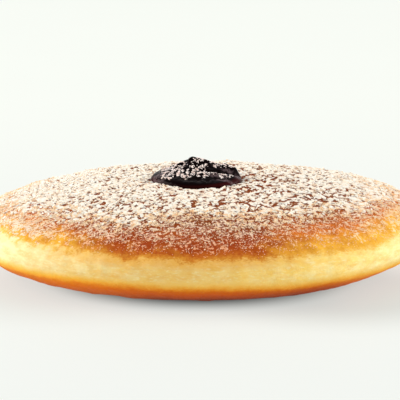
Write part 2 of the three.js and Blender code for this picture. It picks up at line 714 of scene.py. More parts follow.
@dataclass
class JellyForm:
    """The dollop's own form: a puddle with a rounded edge and lobes of extra thickness.

    Its plan is measured from the dollop's own centre.
    """

    bun: BunForm
    radius: float = 9.75
    edge_height: float = 0.55
    edge_reach: float = 0.14
    edge_rounding: Rounding = Rounding(2.0, 1.8)
    sunk: float = 0.06
    waves: tuple[Wave, ...] = (
        Wave(1, 0.02, 0.0),
        Wave(2, 0.03, 0.1),
        Wave(3, 0.02, 3.0),
        Wave(5, 0.01, 2.6),
    )
    lobes: tuple[Lobe, ...] = (
        Lobe((-0.9, 0.4), 0, 7.6, 6.4, 3.0, 2.8),
        Lobe((-1.2, 0.9), 0, 2.4, 1.6, 1.15, 2),
        Lobe((-1.6, 1.0), 0, 0.8, 0.8, 0.45, 2),
        Lobe((4.2, 1.7), 0, 4.9, 1.5, 0.95, 6),
        Lobe((7.4, 1.5), 0, 1.8, 1.4, 0.6, 4),
        Lobe((5.1, -1.95), 14, 4.4, 0.9, -0.95, 4),
        Lobe((5.0, -4.0), 6, 5.6, 1.3, 0.4, 4),
        Lobe((9.0, -0.2), 80, 2.4, 1.0, 0.55, 3),
        Lobe((-2.9, -0.6), 62, 2.3, 0.65, -0.5, 2),
    )
    seat_gap: float = 0.3

    def thickness(self, plan: Plan) -> Points:
        """Adds up the puddle and its lobes.

        Args:
            plan: Points of the plan.

        Returns:
            The thickness of the jelly there, inside its rounded edge.
        """
        total = np.full_like(plan.across, self.edge_height)
        for lobe in self.lobes:
            angle = math.radians(lobe.turn)
            near = plan.about(lobe.at)
            long = near.across * math.cos(angle) + near.along * math.sin(angle)
            aside = near.along * math.cos(angle) - near.across * math.sin(angle)
            blunt = np.abs(long / lobe.length) ** lobe.power
            total += lobe.height * np.exp(-blunt - (aside / lobe.width) ** 2)
        return total

    def seat(self, plan: Plan) -> Points:
        """Height of the bun's dimple under the plan."""
        return self.bun.top(plan.moved(*self.bun.jelly_centre))

    def edge_share(self, plan: Plan) -> Points:
        """How far out a point lies, as a share of the wavy rim's reach."""
        return plan.out / (self.radius * rim_share(self.waves, plan.turn))

    def top(self, plan: Plan) -> Points:
        """Works out the jelly's upper surface.

        Args:
            plan: Points of the plan.

        Returns:
            Its height there.
        """
        inward = (self.edge_share(plan) - (1 - self.edge_reach)) / self.edge_reach
        inward = np.clip(inward, 0, 1) ** self.edge_rounding.across
        up = (1 - inward) ** (1 / self.edge_rounding.up)
        return self.seat(plan) + self.seat_gap + up * self.thickness(plan)

    def net(self, around: int, under: int, rim: int, top: int) -> Net:
        """Works out the dollop's surface, before its fine relief.

        Args:
            around: Points round each ring.
            under: Rings over its underside.
            rim: Rings round its edge.
            top: Rings over its top.

        Returns:
            The net, in the bun's own frame.
        """
        inner = 1 - self.edge_reach
        foot = np.column_stack([inner * np.arange(1, under) / under, np.zeros(under - 1)])
        edge = quarter_round(self.edge_rounding, rim)
        edge = np.column_stack([inner + self.edge_reach * edge[:, 0], edge[:, 1]])
        crown = np.column_stack([inner * np.arange(top - 1, 0, -1) / top, np.ones(top - 1)])
        profile = np.vstack([foot, edge, crown])
        angle = turns(around)
        reach = profile[:, :1] * self.radius * rim_share(self.waves, angle)
        plan = Plan(reach * np.cos(angle), reach * np.sin(angle))
        up = profile[:, 1:]
        seat = self.seat(plan)
        lifted = seat + self.seat_gap + up * self.thickness(plan)
        rings = np.stack(
            [plan.across, plan.along, np.where(up == 0, seat - self.sunk, lifted)], axis=-1
        )
        start = np.array([[0, 0, self.seat(CENTRE)[0] - self.sunk]])
        end = np.array([[0, 0, self.top(CENTRE)[0]]])
        shift = np.array([*self.bun.jelly_centre, 0])
        return Net(rings + shift, start + shift, end + shift)


# ---- Finishes --------------------------------------------------------------------------------


@dataclass(frozen=True)
class Translucence:
    """How light spreads under a surface: its share, its reach in millimetres, its colours."""

    share: float
    reach: float
    colours: Triple

    def sockets(self) -> dict[str, Any]:
        """Lists what it sets.

        Returns:
            Values of the surface shader's sockets, by name.
        """
        return {
            "Subsurface Weight": self.share,
            "Subsurface Scale": self.reach * MM,
            "Subsurface Radius": self.colours,
        }


class Bearing:
    """Which way a place lies from the axis: each wire is 1 where it lies straight that way."""

    def __init__(self, make: Recipe) -> None:
        """Works out the wires.

        Args:
            make: The recipe that they are for.
        """
        out = (make.across * make.across + make.along * make.along) ** 0.5
        self.front = -make.along / out
        self.right = make.across / out
        self.left = (-self.right).highest(0.0)
        self.aside = self.right.highest(-self.right)


@dataclass(frozen=True)
class CrustFinish:
    """Fried yeast dough: brown cap, pale band round the waist, golden-brown underside, with painted
    side light paling both sides and painted shade deepening the cap in front.

    The cap and the underside go by height, in millimetres, with three kinds of unevenness added
    to it. Spans of front, right, left and aside are shares of a bearing, 1 straight that way.
    """

    under: Stops = (
        (0.0, colour(118, 46, 14)),
        (2.4, colour(138, 52, 12)),
        (3.4, colour(178, 70, 8)),
        (4.3, colour(202, 86, 6)),
        (5.0, colour(212, 102, 8)),
        (5.5, colour(228, 134, 24)),
        (6.0, colour(243, 170, 58)),
        (6.7, colour(249, 198, 96)),
        (7.8, colour(248, 208, 118)),
    )
    under_golden: Stops = (
        (0.0, colour(160, 70, 24)),
        (3.6, colour(214, 100, 22)),
        (4.8, colour(232, 115, 14)),
        (5.5, colour(238, 134, 26)),
        (6.0, colour(254, 170, 48)),
        (6.5, colour(254, 188, 68)),
        (7.2, colour(254, 206, 104)),
        (8.2, colour(250, 212, 124)),
    )
    deep_cap: Stops = (
        (10.9, colour(238, 186, 94)),
        (11.7, colour(214, 140, 46)),
        (12.6, colour(186, 90, 22)),
        (13.6, colour(160, 62, 12)),
        (15.0, colour(152, 62, 16)),
        (16.6, colour(132, 60, 14)),
    )
    golden_cap: Stops = (
        (11.2, colour(250, 210, 112)),
        (12.2, colour(247, 184, 58)),
        (13.1, colour(243, 178, 58)),
        (14.2, colour(232, 148, 46)),
        (15.0, colour(212, 112, 34)),
        (16.2, colour(174, 90, 34)),
        (17.6, colour(132, 60, 14)),
    )
    cap_over_band: Span = (10.4, 11.8)
    band_over_under: Span = (6.4, 8.2)

    # Unevenness of the two edges: how far each kind moves the cap's and the underside's.
    broad: Fleck = Fleck(7.0)
    ragged: Fleck = Fleck(1.9, (1.0, 1.0, 1.6), 3.0)
    fine: Fleck = Fleck(0.5, (1.0, 1.0, 2.4))
    cap_sway: Triple = (1.6, 1.8, 1.8)
    cap_ragged_left: float = 2.6
    under_sway: Triple = (0.7, 0.9, 0.6)

    # The cap's edge climbs towards both sides, and the underside's drops twice at the right.
    left_from: float = 0.15
    left_climb: float = 1.6
    right_from: float = 0.7
    right_climb: float = 6.5
    climb_ends: Span = (13.5, 16.0)
    under_drop: float = 0.25
    drop_from: Span = (0.05, 0.3)
    dip_from: Span = (0.12, 0.3)
    dip_until: Span = (0.36, 0.52)

    # Where the cap is deep brown, and by how much: in front as painted shade, at the left and in
    # patches.
    painted_shade_turn: float = math.radians(4.0)
    painted_shade_front: Span = (0.78, 1.0)
    painted_shade_share: float = 0.9
    deep_left: Span = (0.45, 0.75)
    deep_left_share: float = 0.24
    patches: Fleck = Fleck(14.0, detail=3.0, ends=(0.4, 0.75))
    patch_share: float = 0.5
    patchy_until: Span = (0.6, 0.9)
    mottle: Fleck = Fleck(3.0, detail=4.0, ends=(0.35, 0.65))
    mottle_share: float = 0.4
    deep_less: float = 0.15

    # Where the underside is golden, paler towards both sides as painted side light, and where it is
    # singed.
    golden_left: Span = (0.1, 0.55)
    golden_right: Span = (0.45, 0.85)
    golden_from: float = 0.54
    golden_climb: float = 2.0
    singe: Colour = colour(146, 48, 8)
    singe_from: Span = (0.12, 0.3)
    singe_until: Span = (0.55, 0.7)
    singed_below: Span = (3.8, 5.4)
    singe_share: float = 0.45

    # The pale band, from the left (-1) to the right (1), paler towards both sides as painted side
    # light, with streaks, blotches and mist.
    band: Stops = (
        (-1.0, colour(254, 246, 204)),
        (-0.85, colour(250, 238, 180)),
        (-0.63, colour(246, 214, 142)),
        (-0.36, colour(246, 202, 112)),
        (0.0, colour(248, 204, 112)),
        (0.36, colour(255, 214, 112)),
        (0.63, colour(252, 218, 126)),
        (0.85, colour(251, 230, 158)),
        (1.0, colour(252, 240, 184)),
    )
    band_shade: Colour = colour(232, 168, 70)
    band_pale: Colour = colour(255, 244, 190)
    streaks: Fleck = Fleck(1.1, (0.35, 0.35, 1.2), 3.0, (0.35, 0.75))
    streak_share: float = 0.4
    blotches: Fleck = Fleck(3.0, (1.0, 1.0, 1.6), 4.0, (0.38, 0.7))
    blotch_share: float = 0.2
    blotch_share_aside: float = 0.4
    mist: Fleck = Fleck(0.5, (0.5, 0.5, 1.6), ends=(0.5, 0.72))
    mist_share: float = 0.4
    darker_top_above: Span = (9.4, 11.2)
    darker_top_right: Span = (0.1, 0.5)
    darker_top_left: Span = (0.3, 0.7)
    darker_top_share: float = 0.6

    # The finest sugar shows as dots where two kinds of grain add up to more than a bar, which is
    # lower where more of it lies.
    film_dry: Colour = colour(254, 232, 208)
    film_white: Colour = colour(255, 246, 228)
    film_deep: Colour = colour(244, 178, 134)
    film_golden: Colour = colour(250, 226, 180)
    film_grain: Fleck = Fleck(0.6)
    film_coarse: Fleck = Fleck(1.6)
    film_fine_share: float = 0.65
    film_slope: float = 0.22
    film_dots: Span = (-0.02, 0.035)
    film_starts: Span = (0.0, 0.06)
    film_share: float = 0.8
    film_whitens: Span = (0.45, 0.7)
    film_dry_above: Span = (13.4, 16.0)
    film_dry_left: Span = (0.6, 0.8)

    # Light, roughness and relief: pores and wrinkles everywhere, swells on the cap alone.
    crumb: Translucence = Translucence(0.06, 1.2, (1.0, 0.5, 0.2))
    shine: float = 0.1
    rough_least: float = 0.6
    rough_more: float = 0.2
    rough_fleck: Fleck = Fleck(0.8)
    pores: Fleck = Fleck(0.35, detail=3.0)
    pore_depth: float = 0.35
    wrinkles: Fleck = Fleck(1.3, (0.6, 0.6, 1.3))
    wrinkle_depth: float = 0.8
    swells: Fleck = Fleck(0.9)
    swell_depth: float = 0.5
    cap_ends: Span = (12.2, 14.0)
    relief_depth: float = 0.28

    def material(self) -> bpy.types.Material:
        """Makes the crust's material.

        Returns:
            The material.
        """
        make = Recipe("fried_crust")
        bearing = Bearing(make)
        cap_level, under_level = self._levels(make, bearing)
        deep = self._deepness(make, bearing)
        capped = make.blend(
            deep,
            make.banded(cap_level, self.golden_cap),
            make.banded(cap_level, self.deep_cap),
        )
        lower = make.blend(
            under_level.fade(*self.band_over_under),
            self._underside(make, bearing, under_level),
            self._pale_band(make, bearing, under_level),
        )
        browned = make.blend(cap_level.fade(*self.cap_over_band), lower, capped)
        surface = {
            "Base Color": self._sugared(make, bearing, cap_level, deep, browned),
            "Roughness": self.rough_least + self.rough_more * make.speckle(self.rough_fleck),
            "Specular IOR Level": self.shine,
            **self.crumb.sockets(),
        }
        relief = (
            make.speckle(self.pores) * self.pore_depth
            + make.speckle(self.wrinkles) * self.wrinkle_depth
            + cap_level.fade(*self.cap_ends) * make.speckle(self.swells) * self.swell_depth
        )
        return make.finish(surface, relief, self.relief_depth)

    def _levels(self, make: Recipe, bearing: Bearing) -> tuple[Wire, Wire]:
        """Works out the uneven heights that the browning goes by.

        Args:
            make: The recipe.
            bearing: Which way each place lies.

        Returns:
            The height for the cap and the height for the underside.
        """
        broad, ragged, fine = (
            make.speckle(fleck) - 0.5 for fleck in (self.broad, self.ragged, self.fine)
        )
        climb = (bearing.left - self.left_from).highest(0.0) * self.left_climb
        climb = climb + (bearing.right - self.right_from).highest(0.0) * self.right_climb
        climb = climb * (1 - make.height.fade(*self.climb_ends))
        sway = self.cap_sway
        cap_level = (
            make.height
            + broad * sway[0]
            + ragged * (sway[1] + self.cap_ragged_left * bearing.left)
            + fine * sway[2]
            - climb
        )
        sway = self.under_sway
        under_level = (
            make.height
            + broad * sway[0]
            + ragged * sway[1]
            + fine * sway[2]
            + self.under_drop * bearing.right.fade(*self.drop_from)
            + self.under_drop * bearing.right.between(self.dip_from, self.dip_until)
        )
        return cap_level, under_level

    def _deepness(self, make: Recipe, bearing: Bearing) -> Wire:
        """Works out how deep a brown the cap has, deeper in front as painted shade.

        Args:
            make: The recipe.
            bearing: Which way each place lies.

        Returns:
            0 where the cap is golden to 1 where it is deep brown.
        """
        turn = self.painted_shade_turn
        # Painted shade: the cap is painted deeper brown where it faces the front, turned a little
        # to the left.
        facing = bearing.front * math.cos(turn) - bearing.right * math.sin(turn)
        patchy = make.speckle(self.patches) * self.patch_share
        patchy = patchy * (1 - bearing.aside.fade(*self.patchy_until))
        patchy = patchy + make.speckle(self.mottle) * self.mottle_share - self.deep_less
        deep = (
            facing.fade(*self.painted_shade_front) * self.painted_shade_share
            + patchy
            + self.deep_left_share * bearing.left.fade(*self.deep_left)
        )
        return deep.lowest(1.0).highest(0.0)

    def _underside(self, make: Recipe, bearing: Bearing, level: Wire) -> Wire:
        """Colours the underside.

        Args:
            make: The recipe.
            bearing: Which way each place lies.
            level: Uneven height that it pales by.

        Returns:
            Its colour.
        """
        right = bearing.right
        # Painted side light: the underside is paler and more golden towards both sides.
        climb = (bearing.aside - self.golden_from) * self.golden_climb
        painted_side_light = bearing.left.fade(*self.golden_left).highest(right.fade(*self.golden_right))
        shade = make.blend(
            painted_side_light, make.banded(level, self.under), make.banded(level + climb, self.under_golden)
        )
        singed = right.between(self.singe_from, self.singe_until)
        singed = singed * (1 - level.fade(*self.singed_below))
        return make.blend(singed * self.singe_share, shade, self.singe)

    def _pale_band(self, make: Recipe, bearing: Bearing, level: Wire) -> Wire:
        """Colours the pale band round the waist, paler towards both sides as painted side light.

        Args:
            make: The recipe.
            bearing: Which way each place lies.
            level: Uneven height, by which its upper edge is darker in front.

        Returns:
            Its colour.
        """
        streaked = make.speckle(self.streaks) * self.streak_share
        # Painted side light: the band's colour pales towards both sides.
        shade = make.blend(streaked, make.banded(bearing.right, self.band), self.band_shade)
        blotched = self.blotch_share + self.blotch_share_aside * bearing.aside
        shade = make.blend(make.speckle(self.blotches) * blotched, shade, self.band_pale)
        shade = make.blend(make.speckle(self.mist) * self.mist_share, shade, self.band_pale)
        # Darker towards the band's upper edge in front, not at the sides.
        darkened_top = (
            level.fade(*self.darker_top_above)
            * (1 - bearing.right.fade(*self.darker_top_right))
            * (1 - bearing.left.fade(*self.darker_top_left))
        )
        return make.blend(darkened_top * self.darker_top_share, shade, self.band_shade)

    def _sugared(
        self, make: Recipe, bearing: Bearing, level: Wire, deep: Wire, browned: Wire
    ) -> Wire:
        """Strews the finest sugar over the crust's colour.

        Args:
            make: The recipe.
            bearing: Which way each place lies.
            level: Uneven height that the cap browns by.
            deep: How deep a brown the cap has.
            browned: The crust's colour without sugar.

        Returns:
            The colour with the sugar.
        """
        lies = make.node("ShaderNodeAttribute", {"attribute_name": FILM}, output="Fac")
        share = self.film_fine_share
        grain = make.speckle(self.film_grain) * share + make.speckle(self.film_coarse) * (1 - share)
        film = (grain - 0.5 + (lies - 0.5) * self.film_slope).fade(*self.film_dots)
        film = film * lies.fade(*self.film_starts) * self.film_share
        soaked = make.blend(deep, self.film_golden, self.film_deep)
        dry = make.blend(lies.fade(*self.film_whitens), self.film_dry, self.film_white)
        dried = level.fade(*self.film_dry_above).highest(bearing.left.fade(*self.film_dry_left))
        return make.blend(film, browned, make.blend(dried, soaked, dry))


@dataclass(frozen=True)
class PaintedSheenSpot:
    """A spot of painted reflection on the jelly, a dull grey-mauve sheen, from the dollop's own
    centre.
    """

    at: Span
    half_width: float
    half_depth: float


@dataclass(frozen=True)
class JellyFinish:
    """Wet berry jelly, almost black, with a maroon edge where it is thin and spots of painted
    reflection.
    """

    deep: Colour = colour(8, 1, 2)
    thin: Colour = colour(54, 11, 9)
    gleam: Colour = (1.0, 0.88, 0.86, 1.0)
    edge: Span = (9.0, 9.9)
    edge_fleck: Fleck = Fleck(1.5)
    edge_share: float = 0.6
    # Painted reflection: a dull grey-mauve sheen laid into the colour in spots, mottled.
    jelly_sugar_and_sheen: Colour = colour(112, 94, 96)
    sheen_fleck: Fleck = Fleck(0.7, ends=(0.3, 0.65))
    sheen_share: float = 0.7
    sheen_ends: Span = (1.6, 0.2)
    painted_sheen_spots: tuple[PaintedSheenSpot, ...] = (
        PaintedSheenSpot((6.8, 0.1), 1.7, 0.55),
        PaintedSheenSpot((8.7, -2.2), 0.8, 1.7),
        PaintedSheenSpot((-8.8, -2.6), 0.6, 1.7),
        PaintedSheenSpot((6.0, -6.3), 2.2, 0.6),
        PaintedSheenSpot((-7.2, -3.4), 1.5, 2.2),
        PaintedSheenSpot((4.6, -4.6), 2.6, 0.8),
    )
    shine: float = 0.09
    bending: float = 1.3
    rough_least: float = 0.12
    rough_more: float = 0.15
    skin: Fleck = Fleck(0.9)
    ripples: Fleck = Fleck(0.9, detail=1.5)
    ripple_depth: float = 0.1

    def material(self, centre: Span) -> bpy.types.Material:
        """Makes the jelly's material.

        Args:
            centre: Plan centre of the dollop, in millimetres.

        Returns:
            The material.
        """
        make = Recipe("berry_jelly")
        across, along = make.across - centre[0], make.along - centre[1]
        thinned = make.apart(centre).fade(*self.edge)
        thinned = thinned * (self.edge_share + self.edge_share * make.speckle(self.edge_fleck))
        shade = make.blend(thinned, self.deep, self.thin)
        jelly_sugar_and_sheen: Wire | float = 0.0
        # Painted reflection: each spot paints the grey-mauve sheen over the jelly's colour.
        for spot in self.painted_sheen_spots:
            aside = (across - spot.at[0]) * (1 / spot.half_width)
            ahead = (along - spot.at[1]) * (1 / spot.half_depth)
            jelly_sugar_and_sheen = jelly_sugar_and_sheen + (aside * aside + ahead * ahead).fade(*self.sheen_ends)
        jelly_sugar_and_sheen = jelly_sugar_and_sheen * make.speckle(self.sheen_fleck) * self.sheen_share
        surface = {
            "Base Color": make.blend(jelly_sugar_and_sheen, shade, self.jelly_sugar_and_sheen),
            "Roughness": self.rough_least + self.rough_more * make.speckle(self.skin),
            "Specular IOR Level": self.shine,
            "Specular Tint": self.gleam,
            "IOR": self.bending,
        }
        return make.finish(surface, make.speckle(self.ripples), self.ripple_depth)


@dataclass(frozen=True)
class SugarFinish:
    """Icing sugar: bright, dull and a little see-through."""

    name: str = "icing_sugar"
    bright: Colour = colour(255, 250, 238)
    shaded: Colour = colour(253, 232, 208)
    shading: Fleck = Fleck(1.1, ends=(0.35, 0.6))
    depth: Translucence = Translucence(0.15, 0.4, (1.0, 0.85, 0.7))
    shine: float = 0.4
    rough_least: float = 0.55
    rough_more: float = 0.2
    rough_fleck: Fleck = Fleck(0.5)
    powder: Fleck = Fleck(0.18)
    powder_depth: float = 0.06

    def material(self) -> bpy.types.Material:
        """Makes the sugar's material.

        Returns:
            The material.
        """
        make = Recipe(self.name)
        surface = {
            "Base Color": make.blend(make.speckle(self.shading), self.shaded, self.bright),
            "Roughness": self.rough_least + self.rough_more * make.speckle(self.rough_fleck),
            "Specular IOR Level": self.shine,
            **self.depth.sockets(),
        }
        return make.finish(surface, make.speckle(self.powder), self.powder_depth)


@dataclass(frozen=True)
class PaintedShadow:
    """A round, soft painted shadow on the table, where its glow is dimmed: full inside its inner
    radius, gone at its outer one.
    """

    at: Span
    inner: float
    outer: float
    share: float


@dataclass(frozen=True)
class TableFinish:
    """A plain, pale table top that glows a little as painted fill light, brighter further back,
    with painted shadow where the doughnut stands and a little beyond it, and two softer painted
    shadows.
    """

    pale: Colour = colour(112, 108, 105)
    paler: Colour = colour(115, 111, 108)
    patches: Fleck = Fleck(60.0)
    roughness: float = 0.6
    shine: float = 0.2
    glow: Colour = (0.945, 1.0, 0.967, 1.0)
    far_glow: Colour = (1.0, 1.059, 0.996, 1.0)
    no_glow: Colour = (0.0, 0.0, 0.0, 1.0)
    glow_strength: float = 0.73
    far: Span = (-40.0, 250.0)
    painted_shadow_at: Span = (-0.2, -8.5)
    painted_shadow_span: Span = (22.0, 37.0)
    painted_shadows: tuple[PaintedShadow, ...] = (
        PaintedShadow((31.7, -27.2), 12.5, 37.0, 0.21),
        PaintedShadow((-34.0, -24.0), 6.0, 38.0, 0.115),
    )
    grain: Fleck = Fleck(2.0)
    grain_depth: float = 0.01

    def material(self) -> bpy.types.Material:
        """Makes the table's material.

        Returns:
            The material.
        """
        make = Recipe("pale_table")
        # Painted shadow: no glow round where the doughnut stands, and less glow in the painted
        # shadow patches.
        lit = make.apart(self.painted_shadow_at).fade(*self.painted_shadow_span)
        for shade in self.painted_shadows:
            lit = lit * (1 - shade.share * make.apart(shade.at).fade(shade.outer, shade.inner))
        # Painted light: the glow is a little brighter and greener further back.
        glow = make.blend(make.along.fade(*self.far), self.glow, self.far_glow)
        surface = {
            "Base Color": make.blend(make.speckle(self.patches), self.pale, self.paler),
            "Roughness": self.roughness,
            "Specular IOR Level": self.shine,
            "Emission Color": make.blend(lit, self.no_glow, glow),
            "Emission Strength": self.glow_strength,
        }
        return make.finish(surface, make.speckle(self.grain), self.grain_depth)


# ---- Bun and jelly ---------------------------------------------------------------------------


def dress(piece: bpy.types.Object, material: bpy.types.Material) -> None:
    """Gives a piece its finish and lets it ride with the doughnut.

    Args:
        piece: The piece.
        material: Its material.
    """
    piece.data.materials.append(material)
    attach(piece, BODY)


@dataclass
class Bun:
    """The bun as it is seen, with the fine relief of its crust."""

    form: BunForm
    around: int = 480
    rest_rings: int = 8
    under_rings: int = 44
    dome_rings: int = 88
    swell_size: float = 4.0
    cap_swell: float = 0.1
    band_swell_share: float = 0.4
    wrinkle_size: float = 1.3
    wrinkle_stretch: Triple = (1.0, 1.0, 0.7)
    cap_wrinkle: float = 0.07
    band_wrinkle: float = 0.035
    cap_ends: Span = (11.5, 13.5)
    foot_ends: Span = (0.0, 1.2)
    finish: CrustFinish = CrustFinish()

    def __post_init__(self) -> None:
        """Draws the fields of the crust's relief."""
        self.swells = Unevenness(1, self.swell_size)
        self.wrinkles = Unevenness(2, self.wrinkle_size, self.wrinkle_stretch)

    def build(self) -> bpy.types.Object:
        """Builds the bun's mesh.

        Returns:
            The piece.
        """
        net = self.form.net(self.around, self.rest_rings, self.under_rings, self.dome_rings)
        points, ways = net.points(), net.normals()
        points = points + ways * self.relief(points)[:, None]
        return mesh_piece("bun_crust", points, net.faces(), smooth=True)

    def relief(self, points: Points) -> Points:
        """Works out how far the crust stands out of the even form.

        Args:
            points: Points of the even form.

        Returns:
            The height of the relief at each.
        """
        cap = faded(points[:, 2], *self.cap_ends)
        wrinkle = self.band_wrinkle + (self.cap_wrinkle - self.band_wrinkle) * cap
        share = self.band_swell_share + (1 - self.band_swell_share) * cap
        relief = self.swells.at(points) * self.cap_swell * share
        relief = relief + self.wrinkles.at(points) * wrinkle
        return relief * faded(points[:, 2], *self.foot_ends)

    def skin(self, plan: Plan) -> Points:
        """Height of the crust's dome over points of the plan, with its relief."""
        even = self.form.top(plan)
        return even + self.relief(np.column_stack([plan.across, plan.along, even]))

    def dress(self, piece: bpy.types.Object) -> None:
        """Gives the bun its crust."""
        dress(piece, self.finish.material())
        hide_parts("bun")


@dataclass
class Dollop:
    """The dollop of jelly as it is seen."""

    form: JellyForm
    around: int = 240
    under_rings: int = 6
    rim_rings: int = 12
    top_rings: int = 64
    ripple: float = 0.09
    ripple_size: float = 0.9
    ripple_ends: Span = (0.8, 0.97)
    finish: JellyFinish = JellyFinish()

    def build(self) -> bpy.types.Object:
        """Builds the dollop's mesh.

        Returns:
            The piece.
        """
        net = self.form.net(self.around, self.under_rings, self.rim_rings, self.top_rings)
        points, ways = net.points(), net.normals()
        plan = Plan(points[:, 0], points[:, 1]).about(self.form.bun.jelly_centre)
        inner = 1 - faded(self.form.edge_share(plan), *self.ripple_ends)
        ripple = Unevenness(3, self.ripple_size).at(points) * self.ripple
        ripple = ripple * inner * (ways[:, 2] > 0)
        points = points + ways * ripple[:, None]
        return mesh_piece("jelly_dollop", points, net.faces(), smooth=True)

    def dress(self, piece: bpy.types.Object) -> None:
        """Gives the dollop its wet skin."""
        dress(piece, self.finish.material(self.form.bun.jelly_centre))
        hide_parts("jelly")


# ---- Where the sugar lies --------------------------------------------------------------------


class Measure(Enum):
    """What a share of the sugar goes by, at a point of the bun's plan."""

    ACROSS = "distance to the right"
    ALONG = "distance to the back"
    OUT = "distance from the axis"
    PLAIN = "distance from the axis, with the waves of the rim taken out"
    BEYOND = "distance out of the sugar's own edge"
    CLOTTING = "field that small grains gather by"


Ground = dict[Measure, Points]


@dataclass(frozen=True)
class Fade:
    """A share that rises from its least, where a measure starts, to 1, where it is full."""

    by: Measure
    start: float
    full: float
    least: float = 0.0

    def at(self, ground: Ground) -> Points:
        """The share at points of the ground."""
        return self.least + (1 - self.least) * faded(ground[self.by], self.start, self.full)


@dataclass(frozen=True)
class Bell:
    """A share that is 1 at the middle of a measure and falls to both sides."""

    by: Measure
    middle: float
    width: float

    def at(self, ground: Ground) -> Points:
        """The share at points of the ground."""
        return bell(ground[self.by], self.middle, self.width)


@dataclass(frozen=True)
class Patch:
    """A patch of the ground: a height times shares, over a least value."""

    height: float
    shares: "tuple[Fade | Bell, ...]"
    least: float = 0.0

    def at(self, ground: Ground) -> Points:
        """The patch's value at points of the ground."""
        return self.least + self.height * math.prod(share.at(ground) for share in self.shares)


@dataclass(frozen=True)
class Notch:
    """A stretch of the rim where the sugar stops short, by its bearing from the front."""

    bearing: float
    width: float
    depth: float


@dataclass(frozen=True)
class FineCover:
    """Where one kind of fine sugar lies: it thins out beyond the flakes and ends at the lip."""

    thinning: Fade
    clots: Fade
    lip: Fade


